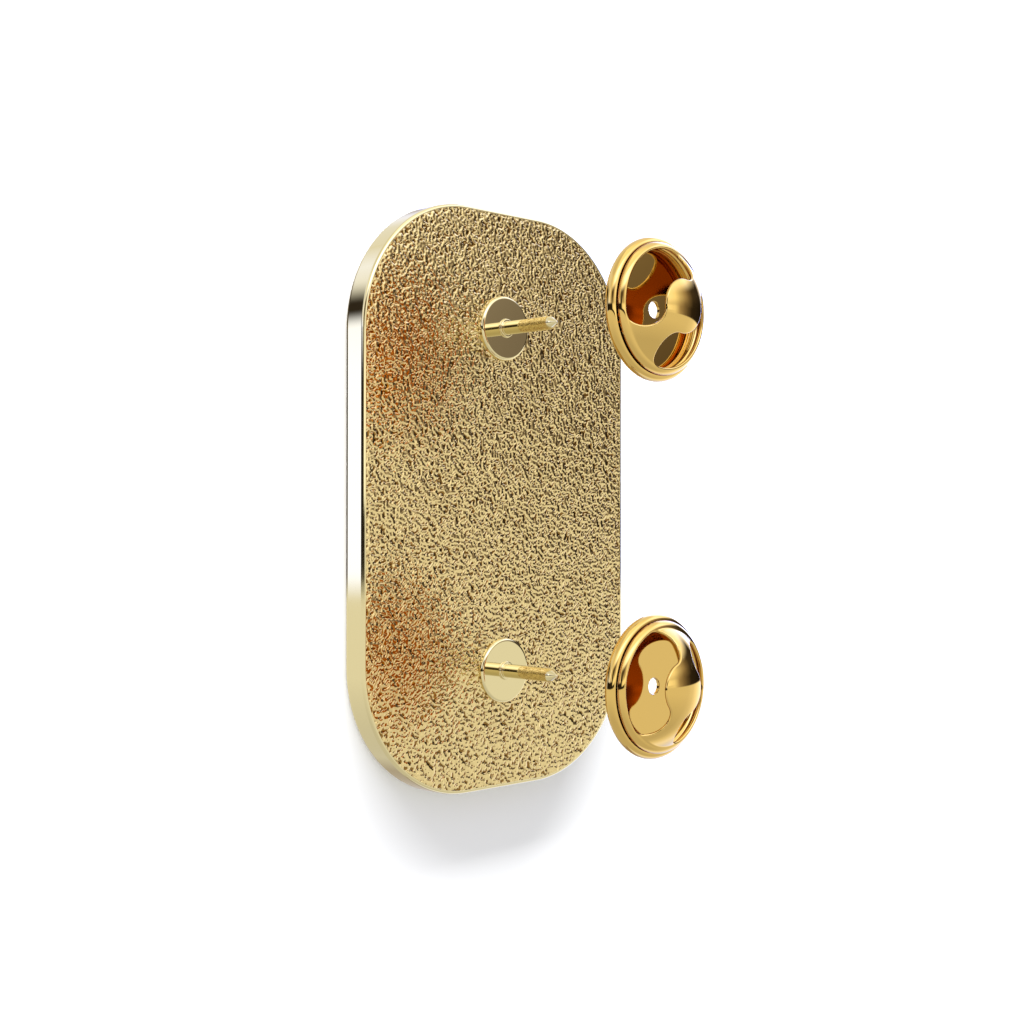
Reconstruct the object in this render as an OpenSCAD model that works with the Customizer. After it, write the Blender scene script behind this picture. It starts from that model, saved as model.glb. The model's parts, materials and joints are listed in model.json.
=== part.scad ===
// Lapel pin lying face down: a thick plate with two soldered posts, and the two butterfly
// clutches that close it, drawn back along the posts. Origin: middle of the front face, which
// rests on z = 0. Y runs along the plate, Z points the way the posts point.

/* [Plate] */
// Width of the plate
plate_w = 32.4; // [28:0.1:40]
// Height of the plate
plate_h = 51.7; // [46:0.1:60]
// Thickness of the plate
plate_t = 2.6; // [1.6:0.1:4]
// Radius of the plate's four corners, seen flat
corner_r = 11.8; // [7:0.1:13]
// Rounding of the edge round the back face
back_round = 0.3; // [0.2:0.05:0.7]
// Rounding of the edge round the front face
front_round = 0.6; // [0.1:0.05:0.8]

/* [Posts] */
// Distance between the two posts
post_gap = 30.7; // [26:0.1:34]
// Diameter of a post
post_d = 1.2; // [0.9:0.05:1.25]
// Length of a post from the back face to its tip
post_len = 6.6; // [5.5:0.05:8]
// Length of the point at the end of a post
point_len = 1.1; // [0.6:0.05:1.6]
// Diameter of the blunt tip
tip_d = 0.3; // [0.2:0.05:0.5]
// Diameter of the solder collar round a post's foot
collar_d = 1.65; // [1.4:0.05:2]
// Height of the solder collar
collar_h = 0.2; // [0.1:0.05:0.4]
// Diameter of the round foot that is soldered to the plate
pad_d = 5.8; // [5:0.1:8]
// Thickness of the round foot
pad_t = 0.3; // [0.2:0.05:0.5]

/* [Clutch base] */
// Diameter of a clutch over its rolled rim
clutch_d = 11.8; // [11.5:0.1:12.1]
// Thickness of the rolled rim
roll_d = 1.06; // [0.9:0.02:1.2]
// Thickness of the floor
floor_t = 0.3; // [0.2:0.05:0.35]
// Height of the floor's underside above the rim's underside
floor_lift = 0.1; // [0.05:0.05:0.2]
// Diameter of the hole that the post goes through
hole_d = 1.34; // [1.3:0.02:1.5]

/* [Clutch cap] */
// Thickness of the cap's sheet metal
sheet_t = 0.3; // [0.2:0.02:0.34]
// Radius of the dome
dome_r = 6.2; // [6.1:0.05:6.5]
// Height of the dome's crown above the underside of the clutch
dome_top = 3.93; // [3.85:0.02:4.1]
// Radius of the rolled shoulder between the dome and the rim
shoulder_r = 0.74; // [0.6:0.02:0.76]
// Height of the shoulder's top above the underside of the clutch
shoulder_top = 1.67; // [1.6:0.01:1.72]
// Inner radius of the two windows
window_in_r = 2.2; // [1.8:0.1:2.6]
// Outer radius of the two windows
window_out_r = 4.8; // [4.76:0.02:4.9]
// Width of the leg between two windows at its neck
leg_w = 1.6; // [1.2:0.05:2.4]

/* [Place of the clutches] */
// Distance from the plate's back face to the underside of a clutch
pulled_off = 17.1; // [8:0.1:20]
// Turn of the upper clutch about its post, in degrees
upper_turn = 43.8; // [0:0.1:180]
// Turn of the lower clutch about its post, in degrees
lower_turn = 75.4; // [0:0.1:180]

/* [Hidden] */
$fn = 64;
// Running gap between the cap's skirt and the rim that it sits in
seat_gap = 0.02;
// Distance of the skirt's outside behind the outside of the rolled rim
skirt_inset = 0.44;
// Depth by which soldered pieces run into each other
bite = 0.1;
post_y = post_gap / 2;
core_w = plate_w - 2 * corner_r;
core_h = plate_h - 2 * corner_r;
clutch_z = plate_t + pulled_off;
roll_mid_r = (clutch_d - roll_d) / 2;
skirt_z = roll_d + seat_gap;
dome_mid_z = dome_top - dome_r;
shoulder_mid_r = clutch_d / 2 - skirt_inset - shoulder_r;
shoulder_mid_z = shoulder_top - shoulder_r;
slot_mid_r = (window_in_r + window_out_r) / 2;
slot_end_r = (window_out_r - window_in_r) / 2;
// Angle from the middle of a leg to the centre of a window's round end
slot_end_a = asin((leg_w / 2 + slot_end_r) / slot_mid_r);
cut_top = dome_top + 1;
gold_plate = "#D9C48B";
gold_clutch = "#D9B565";

// Section of the plate's edge, from a line inside the plate out to its rounded wall
module edge_section() {
    square([corner_r - back_round, plate_t]);
    square([corner_r - front_round, plate_t - back_round]);
    translate([0, front_round]) square([corner_r, plate_t - front_round - back_round]);
    translate([corner_r - back_round, plate_t - back_round]) circle(back_round);
    translate([corner_r - front_round, front_round]) circle(front_round);
}

// Straight stretch of the plate's edge, facing +X, of the given length along Y
module straight_edge(length) {
    rotate([90, 0, 0]) linear_extrude(length, center = true) edge_section();
}

module plate() {
    translate([-core_w / 2, -core_h / 2, 0]) cube([core_w, core_h, plate_t]);
    for (turn = [0, 180]) rotate([0, 0, turn]) {
        translate([core_w / 2, 0, 0]) straight_edge(core_h);
        translate([0, core_h / 2, 0]) rotate([0, 0, 90]) straight_edge(core_w);
        translate([core_w / 2, core_h / 2, 0])
            rotate_extrude(angle = 90) edge_section();
        translate([-core_w / 2, core_h / 2, 0]) rotate([0, 0, 90])
            rotate_extrude(angle = 90) edge_section();
    }
}

// Round foot with a rounded edge, solder collar, shank and point, on the plate's back face
module post() {
    rotate_extrude() {
        translate([0, -bite]) square([pad_d / 2, bite]);
        square([pad_d / 2 - pad_t, pad_t]);
        intersection() {
            translate([pad_d / 2 - pad_t, 0]) circle(pad_t);
            translate([pad_d / 2 - pad_t, 0]) square(pad_t);
        }
    }
    translate([0, 0, pad_t - bite / 2])
        cylinder(h = collar_h + bite / 2, d1 = collar_d, d2 = post_d);
    cylinder(h = post_len - point_len, d = post_d);
    translate([0, 0, post_len - point_len]) cylinder(h = point_len, d1 = post_d, d2 = tip_d);
}

module plate_with_posts() {
    color(gold_plate) union() {
        plate();
        for (side = [-1, 1]) translate([0, side * post_y, plate_t]) post();
    }
}

// Dished floor with a rolled rim and a true hole for the post
module clutch_base() {
    color(gold_clutch) difference() {
        rotate_extrude() {
            translate([0, floor_lift]) square([roll_mid_r, floor_t]);
            translate([roll_mid_r, roll_d / 2]) circle(d = roll_d);
        }
        translate([0, 0, -1]) cylinder(h = 2 + roll_d, d = hole_d);
    }
}

// Section of the cap's sheet: the dome, then the shoulder rolling down to the skirt
module cap_section() {
    intersection() {
        translate([0, dome_mid_z]) difference() {
            circle(dome_r);
            circle(dome_r - sheet_t);
        }
        square([shoulder_mid_r, dome_top]);
    }
    intersection() {
        translate([shoulder_mid_r, shoulder_mid_z]) difference() {
            circle(shoulder_r);
            circle(shoulder_r - sheet_t);
        }
        translate([shoulder_mid_r, skirt_z]) square(shoulder_r);
    }
}

// Curved slot with round ends, seen flat, on the +Y side
module window_outline() {
    reach = window_out_r + 1;
    difference() {
        intersection() {
            circle(window_out_r);
            polygon([[0, 0], [reach * cos(slot_end_a), reach * sin(slot_end_a)], [reach, 2 * reach],
                     [-reach, 2 * reach], [-reach * cos(slot_end_a), reach * sin(slot_end_a)]]);
        }
        circle(window_in_r);
    }
    for (side = [-1, 1])
        translate([side * slot_mid_r * cos(slot_end_a), slot_mid_r * sin(slot_end_a)])
            circle(slot_end_r);
}

module clutch_cap() {
    color(gold_clutch) difference() {
        rotate_extrude() cap_section();
        for (turn = [0, 180]) rotate([0, 0, turn]) linear_extrude(cut_top) window_outline();
    }
}

module at_post(side, turn) {
    translate([0, side * post_y, clutch_z]) rotate([0, 0, turn]) children();
}

module upper_clutch_base() { at_post(1, upper_turn) clutch_base(); }
module upper_clutch_cap() { at_post(1, upper_turn) clutch_cap(); }
module lower_clutch_base() { at_post(-1, lower_turn) clutch_base(); }
module lower_clutch_cap() { at_post(-1, lower_turn) clutch_cap(); }

plate_with_posts();
upper_clutch_base();
upper_clutch_cap();
lower_clutch_base();
lower_clutch_cap();
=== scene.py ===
"""A gold lapel pin lying face down, with its two butterfly clutches drawn back off the posts.

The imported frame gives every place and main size. The plate's shell, its pebbled back, the posts and
the clutches are rebuilt here as smooth closed meshes, because polished metal shows every facet.
Everything is in metres: x across the plate, y along it, z out of its back.
"""

import json
import logging
import math
from dataclasses import dataclass, field
from enum import Enum
from typing import Any

import bmesh
import bpy
import numpy as np
from mathutils import Matrix, Vector

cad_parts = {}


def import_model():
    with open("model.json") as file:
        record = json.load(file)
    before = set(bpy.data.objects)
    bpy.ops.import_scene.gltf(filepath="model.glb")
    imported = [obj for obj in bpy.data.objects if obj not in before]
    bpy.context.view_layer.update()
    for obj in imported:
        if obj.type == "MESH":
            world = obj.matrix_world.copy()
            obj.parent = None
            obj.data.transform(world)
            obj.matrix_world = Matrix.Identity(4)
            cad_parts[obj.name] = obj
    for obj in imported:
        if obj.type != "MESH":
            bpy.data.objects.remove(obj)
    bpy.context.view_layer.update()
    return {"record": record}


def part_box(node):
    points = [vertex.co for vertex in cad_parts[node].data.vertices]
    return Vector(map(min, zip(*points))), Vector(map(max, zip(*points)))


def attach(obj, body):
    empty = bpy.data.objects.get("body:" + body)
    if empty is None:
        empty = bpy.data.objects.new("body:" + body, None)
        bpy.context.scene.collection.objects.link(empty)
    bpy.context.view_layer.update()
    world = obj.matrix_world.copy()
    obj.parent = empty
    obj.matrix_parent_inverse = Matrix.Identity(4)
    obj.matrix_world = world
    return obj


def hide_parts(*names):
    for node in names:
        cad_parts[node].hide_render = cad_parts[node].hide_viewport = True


LOG = logging.getLogger("lapel_pin")
MM = 0.001
PIN_BODY = "pin"
PLATE_NODE = "plate_with_posts"
# Turn of each clutch about its post, in degrees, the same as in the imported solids.
CLUTCH_TURNS = {"upper": 43.8, "lower": 75.4}
# Roughness of the less polished plating inside and under the clutches.
INNER_ROUGHNESS = 0.12
# A Mix node's sockets for colours: the inputs for the factor's 0 and 1, and the result.
COLOUR_A, COLOUR_B, MIXED = 6, 7, 2


# Helpers for nodes, colours and meshes


def linear(hex_colour: str) -> tuple[float, float, float, float]:
    """Turns an sRGB hex colour into the linear colour that shaders take.

    Args:
        hex_colour: Six hex digits with a leading "#".

    Returns:
        Red, green, blue and an alpha of 1.
    """
    channels = [int(hex_colour[i : i + 2], 16) / 255 for i in (1, 3, 5)]
    decoded = [c / 12.92 if c <= 0.04045 else ((c + 0.055) / 1.055) ** 2.4 for c in channels]
    return (decoded[0], decoded[1], decoded[2], 1.0)


def add_node(
    tree: bpy.types.NodeTree,
    kind: str,
    settings: dict[str, Any] | None = None,
    inputs: dict[int | str, Any] | None = None,
) -> bpy.types.Node:
    """Adds a node, sets its properties and fills its inputs.

    Args:
        tree: The node tree that the node joins.
        kind: The node's type name.
        settings: Property values, such as an operation.
        inputs: A value or an output socket to link, for each input's index or name.

    Returns:
        The new node.
    """
    node = tree.nodes.new(kind)
    for name, value in (settings or {}).items():
        setattr(node, name, value)
    for key, value in (inputs or {}).items():
        if isinstance(value, bpy.types.NodeSocket):
            tree.links.new(value, node.inputs[key])
        else:
            node.inputs[key].default_value = value
    return node


@dataclass
class Section:
    """A section of a turned or swept piece: points with their outward normals, in metres.

    Two neighbouring rows with different normals round a corner, and two with the same normal span a
    straight stretch, so a flat needs no rows of its own.
    """

    points: list[tuple[float, float]] = field(default_factory=list)
    normals: list[tuple[float, float]] = field(default_factory=list)

    def arc(
        self,
        centre: tuple[float, float],
        radius: float,
        start: float,
        end: float,
        steps: int,
        hollow: bool = False,
    ) -> "Section":
        """Adds a round stretch.

        Args:
            centre: Centre of the arc.
            radius: Radius of the arc.
            start: First angle in degrees.
            end: Last angle in degrees.
            steps: Number of rows after the first.
            hollow: True where the metal lies outside the arc, as in a fillet.

        Returns:
            The section itself, so that stretches can be chained.
        """
        side = -1 if hollow else 1
        for i in range(steps + 1):
            angle = math.radians(start + (end - start) * i / steps)
            c, s = math.cos(angle), math.sin(angle)
            self.points.append((centre[0] + radius * c, centre[1] + radius * s))
            self.normals.append((side * c, side * s))
        return self

    def point(self, across: float, along: float, normal: tuple[float, float]) -> "Section":
        """Adds a single row with a given normal.

        Args:
            across: The row's first coordinate.
            along: The row's second coordinate.
            normal: Its outward direction, of any length.

        Returns:
            The section itself, so that stretches can be chained.
        """
        self.points.append((across, along))
        length = math.hypot(*normal)
        self.normals.append((normal[0] / length, normal[1] / length))
        return self


def mesh_from_rings(name: str, rings: np.ndarray, normals: np.ndarray, endless: bool) -> bpy.types.Mesh:
    """Skins rings of equally many points with quads and gives them exact shading normals.

    Args:
        name: Name of the mesh.
        rings: Array of shape (rings, points, 3), each ring closed.
        normals: Normals of the same shape.
        endless: True if the last ring joins the first, false if the two end rings are filled.

    Returns:
        The closed mesh.
    """
    rows, cols = rings.shape[:2]
    index = np.arange(rows * cols).reshape(rows, cols)
    below = index if endless else index[:-1]
    above = np.roll(index, -1, axis=0) if endless else index[1:]
    right = np.roll(below, -1, axis=1), np.roll(above, -1, axis=1)
    quads = np.stack([below, right[0], right[1], above], axis=-1).reshape(-1, 4)
    faces: list[list[int]] = quads.tolist()
    if not endless:
        faces += [index[0][::-1].tolist(), index[-1].tolist()]
    mesh = bpy.data.meshes.new(name)
    mesh.from_pydata(rings.reshape(-1, 3).tolist(), [], faces)
    set_shading(mesh, normals.reshape(-1, 3))
    return mesh


def set_shading(mesh: bpy.types.Mesh, normals: np.ndarray) -> None:
    """Gives a mesh smooth faces and the exact normal of each vertex.

    Args:
        mesh: The mesh to shade.
        normals: One unit normal for each vertex.
    """
    shape = bmesh.new()
    shape.from_mesh(mesh)
    bmesh.ops.recalc_face_normals(shape, faces=shape.faces)
    shape.to_mesh(mesh)
    shape.free()
    mesh.polygons.foreach_set("use_smooth", [True] * len(mesh.polygons))
    mesh.update()
    mesh.normals_split_custom_set_from_vertices(normals.tolist())


def turned(name: str, section: Section, segments: int, centre: Vector) -> bpy.types.Mesh:
    """Turns a section about a vertical axis.

    Args:
        name: Name of the mesh.
        section: Points as (radius, height above the centre).
        segments: Number of points round the axis.
        centre: Foot of the axis.

    Returns:
        A closed mesh. A section that ends on the axis is filled at both ends, any other joins up.
    """
    angles = np.arange(segments) * 2 * math.pi / segments
    around = np.stack([np.cos(angles), np.sin(angles)], axis=-1)
    points, ways = np.array(section.points), np.array(section.normals)
    rings = np.zeros((len(points), segments, 3))
    normals = np.zeros_like(rings)
    for target, values in ((rings, points), (normals, ways)):
        target[..., :2] = values[:, 0, None, None] * around
        target[..., 2] = values[:, 1, None]
    rings += np.array(centre)
    on_axis = 0.02 * MM
    return mesh_from_rings(name, rings, normals, endless=points[-1, 0] >= on_axis)


def new_piece(name: str, mesh: bpy.types.Mesh, material: bpy.types.Material) -> bpy.types.Object:
    """Makes an object of a mesh at the origin and dresses it.

    Args:
        name: Name of the piece.
        mesh: Its mesh, with its place in its vertices.
        material: Its finish.

    Returns:
        The linked object.
    """
    mesh.name = name
    mesh.materials.clear()
    mesh.materials.append(material)
    piece = bpy.data.objects.new(name, mesh)
    bpy.context.scene.collection.objects.link(piece)
    return piece


def settle_modifiers(piece: bpy.types.Object) -> None:
    """Replaces a piece's mesh by its evaluated one and removes its modifiers.

    Args:
        piece: The object that the modifiers are on.
    """
    evaluated = piece.evaluated_get(bpy.context.evaluated_depsgraph_get())
    mesh = bpy.data.meshes.new_from_object(evaluated)
    piece.modifiers.clear()
    piece.data = mesh
    mesh.name = piece.name


# Finishes


class Gold(Enum):
    """The colours of gold plating on the pin."""

    # Pale edge, feet and posts.
    CHAMPAGNE = "#DECF9B"
    # Crests of the pebbled back, and the painted shade of its hollows.
    HONEY = "#E0C98C"
    SHADED_UMBER = "#88662F"
    # Outside of the clutches, the painted shade inside them and the painted warm reflection under them.
    DEEP = "#D9B565"
    SHADED_RUSSET = "#B0621F"
    REFLECTED_COPPER = "#DA8A2C"
    # Painted orange reflection of the clutches on the pebbled back.
    REFLECTED_EMBER = "#A96A10"


@dataclass(frozen=True)
class Plating:
    """Gold plating over brass: a metal mirror with a fine relief.

    Attributes:
        name: Name of the material.
        colour: Colour of the mirror.
        roughness: How much the mirror blurs.
        relief_mm: Depth of the relief.
    """

    name: str
    colour: Gold
    roughness: float = 0.045
    relief_mm: float = 0.0015

    def pattern(self, tree: bpy.types.NodeTree, place: bpy.types.NodeSocket) -> tuple[Any, Any]:
        """Draws the colour and the relief.

        Args:
            tree: The material's node tree.
            place: Object coordinates.

        Returns:
            The colour, as a value or a socket, and the socket of the relief's height.
        """
        raise NotImplementedError

    def build(self) -> bpy.types.Material:
        """Builds the material.

        Returns:
            The material, with its pattern on Object coordinates.
        """
        material = bpy.data.materials.new(self.name)
        material.use_nodes = True
        tree = material.node_tree
        tree.nodes.clear()
        place = add_node(tree, "ShaderNodeTexCoord").outputs["Object"]
        colour, height = self.pattern(tree, place)
        bump = add_node(
            tree,
            "ShaderNodeBump",
            {},
            {"Height": height, "Distance": self.relief_mm * MM, "Strength": 1.0},
        )
        shader = add_node(
            tree,
            "ShaderNodeBsdfPrincipled",
            {},
            {
                "Base Color": colour,
                "Metallic": 1.0,
                "Roughness": self.roughness,
                "Normal": bump.outputs["Normal"],
            },
        )
        add_node(tree, "ShaderNodeOutputMaterial", {}, {"Surface": shader.outputs[0]})
        return material


@dataclass(frozen=True)
class PolishedPlating(Plating):
    """Polished plating: a clean mirror whose reflections waver a little.

    Attributes:
        waver_mm: Width of the shallow waves that polishing leaves.
    """

    waver_mm: float = 2.4

    def pattern(self, tree: bpy.types.NodeTree, place: bpy.types.NodeSocket) -> tuple[Any, Any]:
        """Draws one colour with the waves that polishing leaves.

        Args:
            tree: The material's node tree.
            place: Object coordinates.

        Returns:
            The colour and the socket of the waves' height.
        """
        waves = add_node(
            tree,
            "ShaderNodeTexNoise",
            {},
            {"Vector": place, "Scale": 1 / (self.waver_mm * MM), "Detail": 1.0},
        )
        return linear(self.colour.value), waves.outputs["Fac"]


@dataclass(frozen=True)
class PebbledPlating(Plating):
    """Plating over a cast, pebble-grained back: tiny mirrors that glint, with hollows darkened by painted
    shade.

    Attributes:
        hollow: Colour of the hollows between the pebbles: painted shade, darker than the crests.
        pebble_mm: Spacing of the pebbles.
        crease: Extra depth of the creases, as a share of the relief.
        hollow_from: Grain value at which a hollow is deepest.
        hollow_to: Grain value at which a crest begins.
        painted_reflection: Colour of the painted orange reflection of the clutches.
        painted_reflection_on_crests: Share of that colour that the crests take.
        painted_reflection_core: Share of each painted reflection's size that is at full strength.
        painted_reflection_spots: Places of the painted reflection as (x, y, half width, half length) in
            mm.
    """

    roughness: float = 0.05
    relief_mm: float = 0.09
    hollow: Gold = Gold.SHADED_UMBER
    pebble_mm: float = 0.30
    crease: float = 0.35
    hollow_from: float = 0.29
    hollow_to: float = 0.44
    painted_reflection: Gold = Gold.REFLECTED_EMBER
    painted_reflection_on_crests: float = 0.3
    painted_reflection_core: float = 0.2
    painted_reflection_spots: tuple[tuple[float, float, float, float], ...] = (
        (-12.0, 12.0, 8.5, 10.0),
        (-12.0, -13.0, 7.5, 9.0),
    )

    def pattern(self, tree: bpy.types.NodeTree, place: bpy.types.NodeSocket) -> tuple[Any, Any]:
        """Draws light crests, hollows darkened by painted shade, and a painted orange reflection in two
        places.

        Args:
            tree: The material's node tree.
            place: Object coordinates.

        Returns:
            The sockets of the colour and of the relief's height.
        """
        grain = add_node(
            tree,
            "ShaderNodeTexNoise",
            {},
            {"Vector": place, "Scale": 1 / (self.pebble_mm * MM), "Detail": 0.0},
        )
        crest = add_node(
            tree,
            "ShaderNodeMapRange",
            {"interpolation_type": "SMOOTHSTEP"},
            {"Value": grain.outputs["Fac"], "From Min": self.hollow_from, "From Max": self.hollow_to},
        )
        relief = add_node(
            tree,
            "ShaderNodeMath",
            {"operation": "MULTIPLY_ADD"},
            {0: crest.outputs[0], 1: self.crease, 2: grain.outputs["Fac"]},
        )
        # Two soft spots of painted reflection: the clutches' orange undersides mirrored in the back.
        painted_reflections = []
        for x, y, half_width, half_length in self.painted_reflection_spots:
            away = add_node(
                tree,
                "ShaderNodeVectorMath",
                {"operation": "SUBTRACT"},
                {0: place, 1: (x * MM, y * MM, 0.0)},
            )
            away = add_node(
                tree,
                "ShaderNodeVectorMath",
                {"operation": "MULTIPLY"},
                {0: away.outputs[0], 1: (1 / (half_width * MM), 1 / (half_length * MM), 0.0)},
            )
            far = add_node(tree, "ShaderNodeVectorMath", {"operation": "LENGTH"}, {0: away.outputs[0]})
            painted_reflections.append(
                add_node(
                    tree,
                    "ShaderNodeMapRange",
                    {"interpolation_type": "SMOOTHSTEP"},
                    {"Value": far.outputs["Value"], "From Min": 1.0, "From Max": self.painted_reflection_core},
                ).outputs[0]
            )
        painted_reflection = add_node(tree, "ShaderNodeMath", {"operation": "MAXIMUM"}, {0: painted_reflections[0], 1: painted_reflections[1]})
        # The hollows take a darker colour: painted shade between the pebbles.
        hollow = add_node(
            tree,
            "ShaderNodeMix",
            {"data_type": "RGBA"},
            {0: painted_reflection.outputs[0], COLOUR_A: linear(self.hollow.value), COLOUR_B: linear(self.painted_reflection.value)},
        )
        part = add_node(
            tree,
            "ShaderNodeMath",
            {"operation": "MULTIPLY"},
            {0: painted_reflection.outputs[0], 1: self.painted_reflection_on_crests},
        )
        top = add_node(
            tree,
            "ShaderNodeMix",
            {"data_type": "RGBA"},
            {0: part.outputs[0], COLOUR_A: linear(self.colour.value), COLOUR_B: linear(self.painted_reflection.value)},
        )
        tone = add_node(
            tree,
            "ShaderNodeMix",
            {"data_type": "RGBA"},
            {0: crest.outputs[0], COLOUR_A: hollow.outputs[MIXED], COLOUR_B: top.outputs[MIXED]},
        )
        return tone.outputs[MIXED], relief.outputs[0]


# The plate


@dataclass
class Plate:
    """The thick plate: a polished shell round a pebbled back.

    Attributes:
        low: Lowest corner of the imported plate's box.
        high: Highest corner of that box.
        thickness: Thickness of the plate without its posts.
        corner_radius: Radius of the four corners, seen flat.
        back_round: Rounding of the edge round the back.
        front_round: Rounding of the edge round the front.
        round_steps: Rows on each rounded edge.
        corner_steps: Steps round each corner.
        pebble_inset: Distance of the pebbled field's border behind the outer wall.
        lip_bevel: Bevel of the shell's lip round the field.
        seat_depth: Depth of the seat that the field lies over.
        border_dip: Depth by which the field dips under the lip at its border.
        grid_step: Spacing of the field's points.
        pebble_size: Width of the field's broad, shallow swellings.
        pebble_height: Height of those swellings.
        swelling_middle: Value of the noise that is level with the plate's back.
        fade_steps: Number of grid steps over which the swellings fade out at the border.
        seed: Seed of the swellings.
    """

    low: Vector
    high: Vector
    thickness: float = 2.6 * MM
    corner_radius: float = 11.8 * MM
    back_round: float = 0.3 * MM
    front_round: float = 0.6 * MM
    round_steps: int = 12
    corner_steps: int = 40
    pebble_inset: float = 0.31 * MM
    lip_bevel: float = 0.02 * MM
    seat_depth: float = 0.2 * MM
    border_dip: float = 0.03 * MM
    grid_step: float = 0.13 * MM
    pebble_size: float = 0.6 * MM
    pebble_height: float = 0.06 * MM
    swelling_middle: float = 0.55
    fade_steps: float = 3.0
    seed: float = 4.0

    def ring(
        self, inset: float, height: float, tilt: tuple[float, float]
    ) -> tuple[np.ndarray, np.ndarray]:
        """Lays one ring along the plate's rounded outline.

        Args:
            inset: Distance in from the outer wall.
            height: Height above the front face.
            tilt: The surface's normal as (outward, up).

        Returns:
            The ring's points and their normals.
        """
        cx, cy = self.high.x - self.corner_radius, self.high.y - self.corner_radius
        points, normals = [], []
        for quarter, (sx, sy) in enumerate(((1, 1), (-1, 1), (-1, -1), (1, -1))):
            for i in range(self.corner_steps + 1):
                angle = math.pi / 2 * (quarter + i / self.corner_steps)
                way = math.cos(angle), math.sin(angle)
                reach = self.corner_radius - inset
                points.append((sx * cx + reach * way[0], sy * cy + reach * way[1], height))
                normals.append((tilt[0] * way[0], tilt[0] * way[1], tilt[1]))
        return np.array(points), np.array(normals)

    def shell_section(self) -> Section:
        """Draws the shell's section, from the front's border round the wall and down into the seat.

        Returns:
            Points as (inset, height) with their normals as (outward, up).
        """
        section = Section()
        front, back, top = self.front_round, self.back_round, self.thickness
        for centre, radius, start in (((front, front), front, -90.0), ((back, top - back), back, 0.0)):
            quarter = Section().arc(centre, radius, start, start + 90.0, self.round_steps)
            # An inset grows inwards, so the quarter is mirrored.
            for (across, up), normal in zip(quarter.points, quarter.normals):
                section.point(2 * centre[0] - across, up, normal)
        lip = self.pebble_inset + self.lip_bevel
        section.point(self.pebble_inset, top, (0.0, 1.0))
        section.point(lip, top - self.lip_bevel, (-1.0, 1.0))
        section.point(lip, top - self.seat_depth, (-1.0, 0.0))
        section.point(lip + self.lip_bevel, top - self.seat_depth, (0.0, 1.0))
        return section

    def build_shell(self, finish: bpy.types.Material) -> bpy.types.Object:
        """Builds the plain front, the rounded edge and the narrow lip round the back.

        Args:
            finish: Finish of the shell.

        Returns:
            The shell.
        """
        section = self.shell_section()
        rings = [self.ring(*point, normal) for point, normal in zip(section.points, section.normals)]
        points, normals = (np.stack([ring[part] for ring in rings]) for part in (0, 1))
        mesh = mesh_from_rings("plate_shell", points, normals, endless=False)
        return new_piece("plate_shell", mesh, finish)

    def field_sizes(self) -> dict[str, float]:
        """Names the inputs of the tree that grows the pebbled field.

        Returns:
            The value of each input.
        """
        return {
            "Width": self.high.x - self.low.x,
            "Length": self.high.y - self.low.y,
            "Corner Radius": self.corner_radius,
            "Inset": self.pebble_inset,
            "Height": self.thickness,
            "Border Dip": self.border_dip,
            "Grid Step": self.grid_step,
            "Pebble Size": self.pebble_size,
            "Pebble Height": self.pebble_height,
            "Seed": self.seed,
        }

    def build_back(self, finish: bpy.types.Material) -> bpy.types.Object:
        """Builds the pebbled field: a fine grid cut to the outline and sunk at its border.

        Args:
            finish: Finish of the field.

        Returns:
            The field.
        """
        sizes = self.field_sizes()
        tree = self.back_tree(finish)
        piece = new_piece("pebbled_back", bpy.data.meshes.new("pebbled_back"), finish)
        modifier = piece.modifiers.new("pebbling", "NODES")
        modifier.node_group = tree
        for item in tree.interface.items_tree:
            if item.in_out == "INPUT":
                modifier[item.identifier] = sizes[item.name]
        settle_modifiers(piece)
        return piece

    def back_tree(self, finish: bpy.types.Material) -> bpy.types.GeometryNodeTree:
        """Builds the Geometry Nodes tree that grows the pebbled field.

        Args:
            finish: The material that the tree sets.

        Returns:
            The tree, with its sizes as named inputs.
        """
        tree = bpy.data.node_groups.new("pebbled_field", "GeometryNodeTree")
        for name in self.field_sizes():
            tree.interface.new_socket(name, in_out="INPUT", socket_type="NodeSocketFloat")
        tree.interface.new_socket("Geometry", in_out="OUTPUT", socket_type="NodeSocketGeometry")
        size = add_node(tree, "NodeGroupInput").outputs
        step = size["Grid Step"]
        counts = [
            add_node(tree, "ShaderNodeMath", {"operation": "DIVIDE"}, {0: size[side], 1: step}).outputs[0]
            for side in ("Width", "Length")
        ]
        grid = add_node(
            tree,
            "GeometryNodeMeshGrid",
            {},
            {
                "Size X": size["Width"],
                "Size Y": size["Length"],
                "Vertices X": counts[0],
                "Vertices Y": counts[1],
            },
        )
        place = add_node(tree, "GeometryNodeInputPosition").outputs[0]
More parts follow.
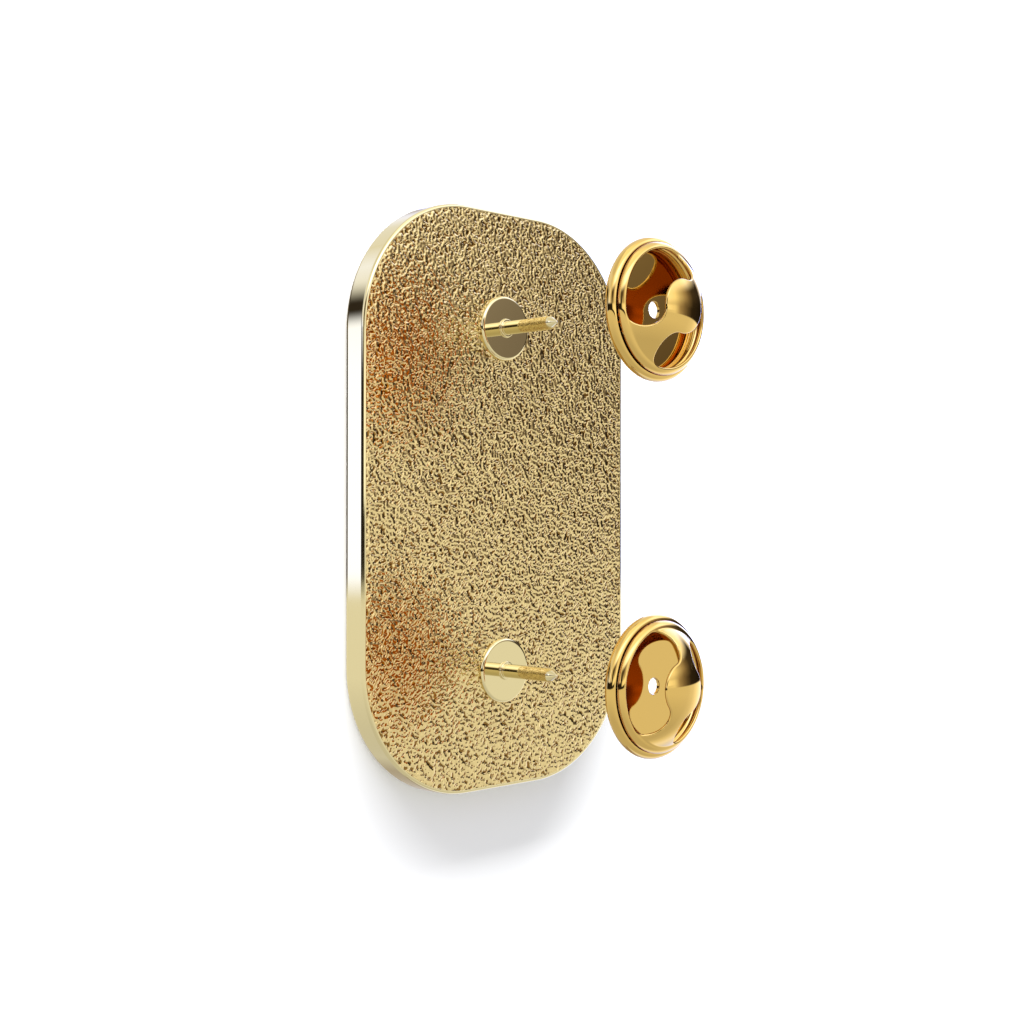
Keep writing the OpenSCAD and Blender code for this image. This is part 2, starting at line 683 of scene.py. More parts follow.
        # How far a point lies past the straight sides, measured from the corner's centre: past the
        # rounded outline it is pulled back onto it along that line.
        sides = add_node(tree, "ShaderNodeCombineXYZ", {}, {"X": size["Width"], "Y": size["Length"]})
        halves = add_node(
            tree, "ShaderNodeVectorMath", {"operation": "SCALE"}, {0: sides.outputs[0], "Scale": 0.5}
        )
        centres = add_node(
            tree,
            "ShaderNodeVectorMath",
            {"operation": "SUBTRACT"},
            {0: halves.outputs[0], 1: size["Corner Radius"]},
        )
        folded = add_node(tree, "ShaderNodeVectorMath", {"operation": "ABSOLUTE"}, {0: place})
        over = folded
        for operation, other in (
            ("SUBTRACT", centres.outputs[0]),
            ("MAXIMUM", (0.0, 0.0, -1.0)),
            ("MULTIPLY", (1.0, 1.0, 0.0)),
        ):
            over = add_node(
                tree, "ShaderNodeVectorMath", {"operation": operation}, {0: over.outputs[0], 1: other}
            )
        far = add_node(tree, "ShaderNodeVectorMath", {"operation": "LENGTH"}, {0: over.outputs[0]})
        reach = add_node(
            tree, "ShaderNodeMath", {"operation": "SUBTRACT"}, {0: size["Corner Radius"], 1: size["Inset"]}
        )
        outside = add_node(
            tree,
            "ShaderNodeMath",
            {"operation": "SUBTRACT"},
            {0: far.outputs["Value"], 1: reach.outputs[0]},
        ).outputs[0]
        excess = add_node(tree, "ShaderNodeMath", {"operation": "MAXIMUM"}, {0: outside, 1: 0.0})
        way = add_node(tree, "ShaderNodeVectorMath", {"operation": "NORMALIZE"}, {0: over.outputs[0]})
        length = add_node(
            tree,
            "ShaderNodeVectorMath",
            {"operation": "SCALE"},
            {0: way.outputs[0], "Scale": excess.outputs[0]},
        )
        signs = add_node(tree, "ShaderNodeVectorMath", {"operation": "SIGN"}, {0: place})
        pull = add_node(
            tree,
            "ShaderNodeVectorMath",
            {"operation": "MULTIPLY"},
            {0: length.outputs[0], 1: signs.outputs[0]},
        )
        flat = add_node(
            tree, "ShaderNodeVectorMath", {"operation": "SUBTRACT"}, {0: place, 1: pull.outputs[0]}
        )
        # Random swellings fade out at the border, where the field dips under the lip.
        scale = add_node(tree, "ShaderNodeMath", {"operation": "DIVIDE"}, {0: 1.0, 1: size["Pebble Size"]})
        pebbles = add_node(
            tree,
            "ShaderNodeTexNoise",
            {"noise_dimensions": "4D"},
            {
                "Vector": place,
                "W": size["Seed"],
                "Scale": scale.outputs[0],
                "Detail": 1.5,
                "Distortion": 0.4,
            },
        )
        level = add_node(
            tree,
            "ShaderNodeMath",
            {"operation": "SUBTRACT"},
            {0: pebbles.outputs["Fac"], 1: self.swelling_middle},
        )
        relief = add_node(
            tree,
            "ShaderNodeMath",
            {"operation": "MULTIPLY"},
            {0: level.outputs[0], 1: size["Pebble Height"]},
        )
        fade_to = add_node(
            tree, "ShaderNodeMath", {"operation": "MULTIPLY"}, {0: step, 1: -self.fade_steps}
        )
        fade = add_node(
            tree,
            "ShaderNodeMapRange",
            {},
            {"Value": outside, "From Min": 0.0, "From Max": fade_to.outputs[0]},
        )
        dip = add_node(tree, "ShaderNodeMath", {"operation": "MULTIPLY"}, {0: size["Border Dip"], 1: -1.0})
        lift = add_node(
            tree,
            "ShaderNodeMix",
            {},
            {"Factor": fade.outputs[0], "A": dip.outputs[0], "B": relief.outputs[0]},
        )
        height = add_node(
            tree, "ShaderNodeMath", {"operation": "ADD"}, {0: lift.outputs[0], 1: size["Height"]}
        )
        raised = add_node(tree, "ShaderNodeCombineXYZ", {}, {"Z": height.outputs[0]})
        target = add_node(
            tree,
            "ShaderNodeVectorMath",
            {"operation": "ADD"},
            {0: flat.outputs[0], 1: raised.outputs[0]},
        )
        # Points further out than one step would fold flat onto the border, so they go.
        surplus = add_node(
            tree, "FunctionNodeCompare", {"operation": "GREATER_THAN"}, {0: outside, 1: step}
        )
        trimmed = add_node(
            tree,
            "GeometryNodeDeleteGeometry",
            {"domain": "POINT", "mode": "ALL"},
            {"Geometry": grid.outputs["Mesh"], "Selection": surplus.outputs[0]},
        )
        placed = add_node(
            tree,
            "GeometryNodeSetPosition",
            {},
            {"Geometry": trimmed.outputs[0], "Position": target.outputs[0]},
        )
        smooth = add_node(tree, "GeometryNodeSetShadeSmooth", {}, {"Geometry": placed.outputs[0]})
        real = add_node(tree, "GeometryNodeRealizeInstances", {}, {"Geometry": smooth.outputs[0]})
        dressed = add_node(
            tree, "GeometryNodeSetMaterial", {}, {"Geometry": real.outputs[0], "Material": finish}
        )
        add_node(tree, "NodeGroupOutput", {}, {0: dressed.outputs[0]})
        return tree


@dataclass
class Posts:
    """The two posts with their soldered feet and collars, turned alike and set along the plate.

    Attributes:
        plate_top: Height of the plate's back.
        tip_height: Height of the posts' tips.
        gap: Distance between the posts.
        foot_radius: Radius of the round foot.
        foot_height: Thickness of the foot.
        foot_sunk: Depth to which the foot runs into the plate.
        foot_edge: Rounding of the foot's edge.
        collar_radius: Radius of the solder collar.
        collar_height: Height of the collar above the foot.
        collar_edge: Rounding of the collar's edge.
        weld: Radius of the small fillets at the collar's two corners.
        shank_radius: Radius of the post.
        point_length: Length of the point.
        point_swell: Radius of the long round that leads from the shank into the point.
        tip_radius: Radius of the blunt tip.
        segments: Points round each post.
    """

    plate_top: float
    tip_height: float
    gap: float
    foot_radius: float = 2.9 * MM
    foot_height: float = 0.3 * MM
    foot_sunk: float = 0.15 * MM
    foot_edge: float = 0.28 * MM
    collar_radius: float = 0.825 * MM
    collar_height: float = 0.2 * MM
    collar_edge: float = 0.09 * MM
    weld: float = 0.04 * MM
    shank_radius: float = 0.6 * MM
    point_length: float = 1.1 * MM
    point_swell: float = 1.4 * MM
    tip_radius: float = 0.13 * MM
    segments: int = 96

    def section(self) -> Section:
        """Draws a post's section, from the sunk underside of the foot up to the blunt tip.

        Returns:
            Points as (radius, height above the plate's back).
        """
        edge_steps, weld_steps, bead_steps, swell_steps, tip_steps = 12, 4, 8, 8, 10
        foot, edge, bead, weld = self.foot_height, self.foot_edge, self.collar_edge, self.weld
        section = Section().point(self.foot_radius, -self.foot_sunk, (1.0, 0.0))
        section.arc((self.foot_radius - edge, foot - edge), edge, 0, 90, edge_steps)
        section.arc((self.collar_radius + weld, foot + weld), weld, -90, -180, weld_steps, hollow=True)
        shoulder = foot + self.collar_height
        section.arc((self.collar_radius - bead, shoulder - bead), bead, 0, 90, bead_steps)
        neck = self.shank_radius + weld, shoulder + weld
        section.arc(neck, weld, -90, -180, weld_steps, hollow=True)
        # The point swells out of the shank on a long round and runs straight to the blunt tip. The
        # round takes up part of the length, so the straight stretch is the steeper for it.
        steeper = 1.15
        taper = math.atan((self.shank_radius - self.tip_radius) / self.point_length)
        slope = math.degrees(taper) * steeper
        start = self.tip_height - self.plate_top - self.point_length
        swell = self.point_swell
        section.arc((self.shank_radius - swell, start), swell, 0, slope, swell_steps)
        tip = self.tip_height - self.plate_top - self.tip_radius
        # The last ring stops just short of the axis and is filled.
        almost_level = 89.0
        section.arc((0.0, tip), self.tip_radius, slope, almost_level, tip_steps)
        return section

    def build(self, finish: bpy.types.Material) -> bpy.types.Object:
        """Turns one post and lets a Geometry Nodes tree set two of them along the plate.

        Args:
            finish: Finish of the posts, feet and collars.

        Returns:
            Both posts as one piece.
        """
        mesh = turned("posts", self.section(), self.segments, Vector((0, 0, self.plate_top)))
        piece = new_piece("posts", mesh, finish)
        tree = bpy.data.node_groups.new("pair_along_y", "GeometryNodeTree")
        tree.interface.new_socket("Geometry", in_out="INPUT", socket_type="NodeSocketGeometry")
        gap = tree.interface.new_socket("Post Gap", in_out="INPUT", socket_type="NodeSocketFloat")
        tree.interface.new_socket("Geometry", in_out="OUTPUT", socket_type="NodeSocketGeometry")
        given = add_node(tree, "NodeGroupInput").outputs
        back = add_node(tree, "ShaderNodeMath", {"operation": "MULTIPLY"}, {0: given["Post Gap"], 1: -0.5})
        start = add_node(tree, "ShaderNodeCombineXYZ", {}, {"Y": back.outputs[0]})
        step = add_node(tree, "ShaderNodeCombineXYZ", {}, {"Y": given["Post Gap"]})
        line = add_node(
            tree,
            "GeometryNodeMeshLine",
            {},
            {"Count": 2, "Start Location": start.outputs[0], "Offset": step.outputs[0]},
        )
        pair = add_node(
            tree,
            "GeometryNodeInstanceOnPoints",
            {},
            {"Points": line.outputs[0], "Instance": given["Geometry"]},
        )
        real = add_node(tree, "GeometryNodeRealizeInstances", {}, {"Geometry": pair.outputs[0]})
        dressed = add_node(
            tree, "GeometryNodeSetMaterial", {}, {"Geometry": real.outputs[0], "Material": finish}
        )
        add_node(tree, "NodeGroupOutput", {}, {0: dressed.outputs[0]})
        modifier = piece.modifiers.new("pair", "NODES")
        modifier.node_group = tree
        modifier[gap.identifier] = self.gap
        settle_modifiers(piece)
        return piece


# The clutches


@dataclass
class SheetGrid:
    """Middle surface of a cap's sheet: rows from the skirt in to the crown, columns round the cap.

    Attributes:
        points: Every point, as rows of (x, y, z).
        normals: Outward normal of each point.
        index: Number of the point at each row and column. Places that coincide share a number.
        angles: Angle of each column.
        on_leg: For each column, whether it runs down a leg, where no window parts its two halves.
    """

    points: np.ndarray
    normals: np.ndarray
    index: np.ndarray
    angles: np.ndarray
    on_leg: np.ndarray


@dataclass
class Clutch:
    """A butterfly clutch: a dished base with a rolled rim and a domed cap with two windows.

    Attributes:
        name: First words of its pieces' names.
        centre: Middle of its underside.
        turn: Turn about its post, in radians.
        rim_radius: Outer radius of the rolled rim.
        roll_radius: Radius of the roll itself.
        roll_steps: Steps round the roll.
        floor_low: Height of the floor's underside.
        floor_high: Height of the floor's upper side.
        hole_radius: Radius of the hole that the post goes through.
        hole_ease: Rounding of the hole's edges.
        sheet: Thickness of the cap's sheet.
        dome_radius: Radius of the dome.
        dome_top: Height of the crown.
        shoulder_radius: Radius of the rolled shoulder.
        shoulder_top: Height of the shoulder.
        skirt_radius: Outer radius of the skirt.
        skirt_low: Height of the skirt's lower edge.
        leg_blend: Size of the round between the dome and the shoulder.
        window_in: Inner radius of the windows.
        window_out: Outer radius of the windows.
        leg_width: Width of a leg at its neck.
        outer_rows: Rows of the sheet between the skirt and the windows.
        inner_rows: Rows of the sheet between the windows and the crown.
        lip_steps: Steps round the sheet's cut edges.
        segments: Points round the base.
    """

    name: str
    centre: Vector
    turn: float
    rim_radius: float
    roll_radius: float = 0.53 * MM
    roll_steps: int = 72
    floor_low: float = 0.1 * MM
    floor_high: float = 0.4 * MM
    hole_radius: float = 0.67 * MM
    hole_ease: float = 0.06 * MM
    sheet: float = 0.3 * MM
    dome_radius: float = 6.2 * MM
    dome_top: float = 3.93 * MM
    shoulder_radius: float = 0.74 * MM
    shoulder_top: float = 1.67 * MM
    skirt_radius: float = 5.46 * MM
    skirt_low: float = 1.08 * MM
    leg_blend: float = 0.16 * MM
    window_in: float = 2.2 * MM
    window_out: float = 4.8 * MM
    leg_width: float = 1.6 * MM
    outer_rows: int = 36
    inner_rows: int = 24
    lip_steps: int = 8
    segments: int = 192

    def base_section(self) -> Section:
        """Draws the base's closed section: up the hole's wall, out over the floor and round the rim.

        Returns:
            Points as (radius, height above the underside).
        """
        roll, ease, ease_steps = self.roll_radius, self.hole_ease, 4
        mid = self.rim_radius - roll
        # Where the floor's two sides meet the roll, as angles below its level middle. The corners
        # there are eased over a few degrees of the roll.
        upper = math.degrees(math.asin((roll - self.floor_high) / roll))
        lower = math.degrees(math.asin((roll - self.floor_low) / roll))
        upper_ease, lower_ease = 8, 6
        section = Section()
        section.arc((self.hole_radius + ease, self.floor_low + ease), ease, 270, 180, ease_steps)
        section.arc((self.hole_radius + ease, self.floor_high - ease), ease, 180, 90, ease_steps)
        section.point(mid - roll * math.cos(math.radians(upper)) - ease, self.floor_high, (0.0, 1.0))
        start, end = 180 + upper - upper_ease, lower + lower_ease - 180
        section.arc((mid, roll), roll, start, end, self.roll_steps)
        section.point(mid - roll * math.cos(math.radians(lower)) - ease, self.floor_low, (0.0, -1.0))
        return section

    def build_base(self, finish: bpy.types.Material, beneath: bpy.types.Material) -> bpy.types.Object:
        """Builds the base.

        Args:
            finish: Finish of the rim and of the floor's upper side.
            beneath: Finish of the flat underside, which faces the plate: a redder painted reflection.

        Returns:
            The base.
        """
        mesh = turned(f"{self.name}_base", self.base_section(), self.segments, self.centre)
        piece = new_piece(f"{self.name}_base", mesh, finish)
        mesh.materials.append(beneath)
        # The flat underside, facing the plate, takes the redder finish: painted warm reflection.
        facing_down = -0.9
        normals = np.empty(len(mesh.polygons) * 3)
        mesh.polygons.foreach_get("normal", normals)
        mesh.polygons.foreach_set("material_index", (normals[2::3] < facing_down).astype(int))
        return piece

    def middle_line(self) -> np.ndarray:
        """Draws the middle line of the cap's sheet, from the crown to the skirt.

        Returns:
            Rows of (radius, height, normal outward, normal up), finely and evenly spaced.
        """
        dome_rows, tail_rows, even_rows = 900, 40, 1200
        half = self.sheet / 2
        ball, ball_z = self.dome_radius - half, self.dome_top - self.dome_radius
        roll = self.shoulder_radius - half
        roll_r, roll_z = self.skirt_radius - self.shoulder_radius, self.shoulder_top - self.shoulder_radius
        # The heights are worked out by radius until the shoulder falls steeply, then by angle.
        steep = 0.92
        radii = np.linspace(0, roll_r + roll * steep, dome_rows)
        dome = ball_z + np.sqrt(np.maximum(ball**2 - radii**2, 0))
        over = np.maximum(radii - roll_r, 0)
        ledge = roll_z + np.sqrt(np.maximum(roll**2 - over**2, 0))
        mix = np.clip(0.5 + 0.5 * (dome - ledge) / self.leg_blend, 0, 1)
        heights = ledge * (1 - mix) + dome * mix + self.leg_blend * mix * (1 - mix)
        high = math.asin(np.clip((heights[-1] - roll_z) / roll, -1, 1))
        low = math.asin((self.skirt_low + half - roll_z) / roll)
        tail = np.linspace(high, low, tail_rows)[1:]
        upper = np.stack([radii, heights], axis=-1)
        lower = np.stack([roll_r + roll * np.cos(tail), roll_z + roll * np.sin(tail)], axis=-1)
        line = np.concatenate([upper, lower])
        length = np.concatenate([[0], np.cumsum(np.hypot(*np.diff(line, axis=0).T))])
        even = np.linspace(0, length[-1], even_rows)
        line = np.stack([np.interp(even, length, line[:, i]) for i in range(2)], axis=-1)
        along = np.gradient(line, axis=0)
        along[0] = (1, 0)
        along /= np.linalg.norm(along, axis=1, keepdims=True)
        return np.concatenate([line, np.stack([-along[:, 1], along[:, 0]], axis=-1)], axis=1)

    def window_columns(self) -> tuple[np.ndarray, np.ndarray, np.ndarray]:
        """Spreads columns round the cap and finds the inner and outer reach of a window on each.

        Returns:
            Angles, inner radii and outer radii. On a leg both radii are the window's middle radius.
        """
        leg_columns, end_steps, side_steps = 15, 30, 60
        half = self.sheet / 2
        inner, outer = self.window_in - half, self.window_out + half
        middle, end = (inner + outer) / 2, (outer - inner) / 2
        spread = math.pi / 2 - math.asin((self.leg_width / 2 - half + end) / middle)
        leg = math.pi / 2 - spread - math.asin(end / middle)
        angles, low, high = [], [], []
        # A window's round end: angles past its centre and the reaches there, from the tip inwards.
        rounds = []
        for k in range(1, end_steps + 1):
            quarter = math.pi / 2 * k / end_steps
            past = math.asin(math.cos(quarter) * end / middle)
            mid, root = middle * math.cos(past), end * math.sin(quarter)
            rounds.append((past, mid - root, mid + root))
        leg_angles = np.linspace(-leg, leg, leg_columns) - math.pi / 2
        side_angles = np.linspace(-spread, spread, side_steps + 1)[1:]
        for facing in (math.pi / 2, 3 * math.pi / 2):
            columns = [(facing + a, middle, middle) for a in leg_angles]
            columns += [(facing - spread - past, near, far) for past, near, far in rounds]
            columns += [(facing + a, inner, outer) for a in side_angles]
            columns += [(facing + spread + past, near, far) for past, near, far in rounds[-2::-1]]
            for target, part in zip((angles, low, high), zip(*columns)):
                target += part
        return np.array(angles), np.array(low), np.array(high)

    def cap_grid(self) -> SheetGrid:
        """Lays the cap's middle surface out as a grid.

        Returns:
            The grid, in which a leg's two halves are joined and the crown is one point.
        """
        angles, low, high = self.window_columns()
        line = self.middle_line()
        steps = np.linspace(0, 1, len(line))
        widening = line[: int(np.argmax(line[:, 0])) + 1, 0]
        low_step, high_step = (np.interp(edge, widening, steps[: len(widening)]) for edge in (low, high))
        from_skirt = np.linspace(0, 1, self.outer_rows + 1)[:, None]
        # The rows lie slightly closer together towards the crown.
        crowding = 0.9
        to_crown = np.linspace(0, 1, self.inner_rows + 1)[:, None] ** crowding
        spots = np.concatenate([1 + (high_step - 1) * from_skirt, low_step * (1 - to_crown)])
        values = np.stack([np.interp(spots, steps, line[:, i]) for i in range(4)], axis=-1)
        around = np.stack([np.cos(angles + self.turn), np.sin(angles + self.turn)], axis=-1)
        points = np.concatenate([values[..., :1] * around, values[..., 1:2]], axis=-1)
        points += np.array(self.centre)
        normals = np.concatenate([values[..., 2:3] * around, values[..., 3:4]], axis=-1)
        normals /= np.linalg.norm(normals, axis=-1, keepdims=True)
        index = np.arange(spots.size).reshape(spots.shape)
        on_leg = np.isclose(low, high)
        index[self.outer_rows + 1][on_leg] = index[self.outer_rows][on_leg]
        index[-1] = index[-1, 0]
        return SheetGrid(points.reshape(-1, 3), normals.reshape(-1, 3), index, angles, on_leg)

    def cap_edges(self, grid: SheetGrid) -> list[tuple[np.ndarray, Vector]]:
        """Finds the sheet's three cut edges: the skirt's and the two windows'.

        Args:
            grid: The cap's middle surface.

        Returns:
            For each edge its loop of point numbers and the way off the sheet at the first of them.
        """
        edges = [(grid.index[0], Vector((0, 0, -1)))]
        outer, inner = grid.index[self.outer_rows], grid.index[self.outer_rows + 1]
        for second in (False, True):
            window = [j for j in np.flatnonzero(~grid.on_leg) if (grid.angles[j] > math.pi) == second]
            span = [window[0] - 1, *window, (window[-1] + 1) % len(grid.angles)]
            loop = np.concatenate([outer[span], inner[span[-2:0:-1]]])
            half_way = len(window) // 2
            facing = grid.angles[window[half_way]] + self.turn
            edges.append((np.roll(loop, -half_way), Vector((-math.cos(facing), -math.sin(facing), 0))))
        return edges

    def build_cap(self, finish: bpy.types.Material, inside: bpy.types.Material) -> bpy.types.Object:
        """Builds the cap as one closed sheet whose cut edges are rolled round.

        Args:
            finish: Finish of the outside and of the windows' edges.
            inside: Finish of the underside and of the skirt's edge, painted darker as shade.

        Returns:
            The cap.
        """
        grid = self.cap_grid()
        across = np.roll(grid.index, -1, axis=1)
        quads = np.stack([grid.index[:-1], across[:-1], across[1:], grid.index[1:]], axis=-1)
        quads = np.delete(quads, self.outer_rows, axis=0).reshape(-1, 4)
        half, count = self.sheet / 2, len(grid.points)
        points = [grid.points + half * grid.normals, grid.points - half * grid.normals]
        normals = [grid.normals, -grid.normals]
        faces = quads.tolist() + (quads[:, ::-1] + count).tolist()
        # Material numbers: 0 is the finish outside, 1 the one inside.
        kinds = [0] * len(quads) + [1] * len(quads)
        total = 2 * count
        for number, (loop, off_sheet) in enumerate(self.cap_edges(grid)):
            mid, normal = grid.points[loop], grid.normals[loop]
            tangent = np.roll(mid, -1, axis=0) - np.roll(mid, 1, axis=0)
            out = np.cross(tangent, normal)
            out /= np.linalg.norm(out, axis=1, keepdims=True)
            if float(np.dot(out[0], np.array(off_sheet))) < 0:
                out = -out
            previous = loop
            for k in range(1, self.lip_steps + 1):
                if k == self.lip_steps:
                    current = loop + count
                else:
                    angle = math.pi * k / self.lip_steps
                    way = normal * math.cos(angle) + out * math.sin(angle)
                    points.append(mid + half * way)
                    normals.append(way)
                    current = np.arange(total, total + len(loop))
                    total += len(loop)
                strip = np.stack([previous, np.roll(previous, -1), np.roll(current, -1), current], axis=-1)
                faces += strip.tolist()
                # The skirt's cut edge takes the inside finish: painted shade along the groove above the
                # base.
                kinds += [1 if number == 0 else 0] * len(strip)
                previous = current
        # Quads at the crown and at a leg's neck lose their doubled corners, or vanish.
        trimmed = [list(dict.fromkeys(face)) for face in faces]
        kept = [(face, kind) for face, kind in zip(trimmed, kinds) if len(face) > 2]
        used = sorted({corner for face, _ in kept for corner in face})
        renumber = {corner: i for i, corner in enumerate(used)}
        mesh = bpy.data.meshes.new(f"{self.name}_cap")
        corners = [[renumber[corner] for corner in face] for face, _ in kept]
        mesh.from_pydata(np.concatenate(points)[used].tolist(), [], corners)
        set_shading(mesh, np.concatenate(normals)[used])
        piece = new_piece(f"{self.name}_cap", mesh, finish)
        mesh.materials.append(inside)
        mesh.polygons.foreach_set("material_index", [kind for _, kind in kept])
        return piece


# The studio


@dataclass(frozen=True)
class Band:
    """One level of the surroundings that the pin's mirrors see.

    Attributes:
        rise: Elevations towards +y, in degrees, between which this band takes over from the one
            below, or None for the lowest.
        stops: Pairs of azimuth in degrees and brightness. The azimuth goes round the y axis, from
            the back's own upward direction at 0 towards +x at 90.
    """

    rise: tuple[float, float] | None
    stops: tuple[tuple[float, float], ...]


BANDS = (
    # The pale table, with a brighter part on the right that the clutches see.
    Band(
        None,
        (
            (-180, 1.02), (52, 1.02), (65, 1.15), (76, 1.5), (88, 2.4), (104, 2.4), (120, 2.2), (134, 0.6),
            (160, 0.6), (175, 1.02),
        ),
    ),
    # The dark gap behind the table.
    Band(
        (-3.4, -2.1),
        (
            (-180, 0.04), (-152, 0.04), (-147, 0.03), (-144, 3.0), (-138, 3.0), (-134, 0.02), (-12, 0.02),
            (2, 1.1), (24, 1.2), (34, 0.5), (43, 0.24), (51, 0.11), (60, 0.03), (90, 0.01), (95, 2.0),
            (101, 6.0), (128, 6.0), (134, 0.5), (158, 0.5), (163, 0.04),
        ),
    ),
    # Level with the pin: pale walls and the dark gaps between them.
    Band(
        (0.0, 0.8),
        (
            (-180, 0.04), (-152, 0.04), (-147, 0.03), (-144, 3.0), (-138, 3.0), (-134, 0.02), (-45, 0.02),
            (-32, 1.4), (10, 1.7), (24, 1.3), (34, 0.45), (43, 0.24), (51, 0.11), (60, 0.03), (90, 0.01),
            (95, 2.0), (101, 6.0), (128, 6.0), (134, 0.5), (158, 0.5), (163, 0.04),
        ),
    ),
    # Narrow strip lights.
    Band(
        (5.0, 8.5),
        (
            (-180, 0.04), (-147, 0.3), (-143, 2.6), (-138, 2.6), (-134, 0.03), (-118, 0.03), (-112, 3.5),
            (-105, 3.5), (-101, 0.02), (-96, 0.02), (-92, 4.5), (-84, 4.0), (-80, 0.2), (-72, 0.2),
            (-68, 2.6), (-61, 1.6), (-56, 0.03), (-42, 0.03), (-28, 0.9), (-14, 0.6), (2, 1.4), (24, 1.05),
            (35, 0.5), (45, 0.22), (64, 0.03), (90, 0.01), (101, 6.0), (130, 6.0), (136, 0.5), (158, 0.5),
            (163, 0.04),
        ),
    ),
    # A broad soft beam beside and behind the pin.
    Band(
        (7.0, 17.0),
        (
            (-180, 0.03), (-128, 0.03), (-112, 1.2), (-103, 0.4), (-95, 2.0), (-84, 3.0), (-77, 0.6),
            (-66, 1.2), (-57, 0.2), (-44, 0.08), (-32, 0.12), (-20, 0.4), (-5, 1.3), (12, 2.0), (26, 1.5),
            (36, 0.9), (46, 0.5), (56, 0.2), (66, 0.06), (88, 0.03), (95, 1.5), (103, 5.5), (132, 6.0),
            (142, 0.5),
        ),
    ),
    # Large softboxes above.
    Band(
        (20.0, 32.0),
        (
            (-180, 1.0), (-162, 2.0), (-147, 1.5), (-115, 1.5), (-80, 1.0), (-60, 1.4), (-38, 3.0),
            (-20, 4.6), (0, 4.2), (20, 2.4), (45, 2.2), (60, 3.2), (75, 2.2), (95, 4.0), (120, 4.5),
            (138, 2.0), (160, 1.1), (180, 1.1),
        ),
    ),
    # The plain ceiling.
    Band(
        (42.0, 52.0),
        (
            (-180, 1.2), (-110, 0.9), (-70, 0.9), (-30, 1.7), (30, 1.6), (60, 1.3), (110, 1.4), (180, 1.2),
        ),
    ),
)


